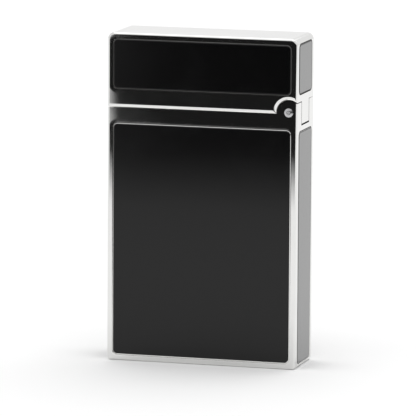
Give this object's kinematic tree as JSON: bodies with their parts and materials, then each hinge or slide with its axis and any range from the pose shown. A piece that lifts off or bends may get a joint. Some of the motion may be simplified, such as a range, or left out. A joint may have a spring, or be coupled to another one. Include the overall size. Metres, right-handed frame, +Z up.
{
  "type": "pocket gas lighter",
  "caption": "Slim rectangular flip-top gas lighter: polished metal case and side-hinged cap with inlaid gloss panels, thumb roller, flint feed, valve, burner and fuel tank.",
  "frame": {"origin": "centre of the base, on the surface it stands on", "axes": "+Z up to the cap, +X towards the hinge side, front face towards -Y"},
  "size_m": [0.0374, 0.0126, 0.063],
  "materials": {
    "chrome": "mirror polish",
    "lacquer": "hard gloss black lacquer",
    "steel": "plain steel",
    "hard_steel": "file cut, hardened",
    "blackened_steel": "heat-blackened steel",
    "brass": "machined brass",
    "nickel_brass": "nickel-plated brass, satin",
    "rubber": "moulded seal rubber",
    "filter_foam": "open foam",
    "flint": "pressed ferrocerium"
  },
  "bodies": {
    "case": {"body_case": "chrome", "body_front_panel": "lacquer", "body_back_panel": "lacquer", "body_left_panel": "lacquer", "body_right_panel": "lacquer", "hinge_pin": "steel", "chassis_plate": "nickel_brass", "chassis_screws": "steel", "burner_hood": "blackened_steel", "valve_body": "brass", "valve_seal": "rubber", "flow_filter": "filter_foam", "jet_spring": "steel", "lever_pin": "steel", "lever_spring": "steel", "cap_spring_housing": "nickel_brass", "cap_spring": "steel", "flint_tube": "brass", "flint_spring": "steel", "fuel_tank": "brass", "tank_cover": "brass", "filler_valve": "brass", "filler_seal": "rubber", "filler_spring": "steel"},
    "cap": {"cap_shell": "chrome", "cap_front_panel": "lacquer", "cap_back_panel": "lacquer", "cap_left_panel": "lacquer", "cap_right_panel": "lacquer", "snuffer_post": "brass", "snuffer_pad": "rubber"},
    "roller": {"roller_axle": "steel", "roller_drum_front": "chrome", "roller_drum_rear": "chrome", "striker_wheel": "hard_steel"},
    "jet": {"burner_jet": "brass", "jet_seal": "rubber"},
    "lever": {"valve_lever": "brass"},
    "adjuster": {"flame_adjuster": "brass"},
    "follower": {"cap_follower": "steel"},
    "flint_feed": {"flint": "flint", "flint_pusher": "brass"},
    "flint_plug": {"flint_screw": "nickel_brass"},
    "filler_plug": {"filler_screw": "nickel_brass"},
    "filler_stem": {"filler_poppet": "steel"}
  },
  "joints": [
    {"name": "cap_hinge", "type": "hinge", "parent": "case", "child": "cap", "pos_m": [0.017, 0, 0.04905], "axis": [0, 1, 0], "range_deg": [0, 95]},
    {"name": "roller_spin", "type": "hinge", "parent": "case", "child": "roller", "pos_m": [-0.0142, 0, 0.0513], "axis": [0, 1, 0], "continuous": true},
    {"name": "jet_lift", "type": "slide", "parent": "case", "child": "jet", "axis": [0, 0, 1], "range_m": [0, 0.0004565], "deforming": ["jet_spring"]},
    {"name": "lever_tilt", "type": "hinge", "parent": "case", "child": "lever", "pos_m": [0.0035, 0, 0.05025], "axis": [0, 1, 0], "range_deg": [0, 4.1], "deforming": ["lever_spring"]},
    {"name": "adjuster_turn", "type": "hinge", "parent": "case", "child": "adjuster", "pos_m": [-0.0012, 0, 0.0482], "axis": [0, 0, 1], "range_deg": [-120, 120]},
    {"name": "follower_slide", "type": "slide", "parent": "case", "child": "follower", "axis": [1, 0, 0], "range_m": [-0.00045, 0]},
    {"name": "flint_feed_slide", "type": "slide", "parent": "case", "child": "flint_feed", "axis": [0, 0, 1], "range_m": [-0.0025, 0], "stiffness_N_per_m": 120, "springref_m": 0.001, "deforming": ["flint_spring"]},
    {"name": "flint_screw_turn", "type": "hinge", "parent": "case", "child": "flint_plug", "pos_m": [-0.0142, 0, 0], "axis": [0, 0, -1], "continuous": true},
    {"name": "filler_screw_turn", "type": "hinge", "parent": "case", "child": "filler_plug", "pos_m": [0.0045, 0, 0], "axis": [0, 0, -1], "continuous": true},
    {"name": "filler_press", "type": "slide", "parent": "case", "child": "filler_stem", "axis": [0, 0, 1], "range_m": [0, 0.0006], "stiffness_N_per_m": 150, "springref_m": -0.0005, "deforming": ["filler_spring"]}
  ],
  "couplings": [
    {"joint": "lever_tilt", "follows": "cap_hinge", "ratio": 0.042105},
    {"joint": "jet_lift", "follows": "cap_hinge", "m_per_rad": 0.00026991},
    {"joint": "follower_slide", "follows": "cap_hinge", "m_per_rad": -0.00025029}
  ]
}
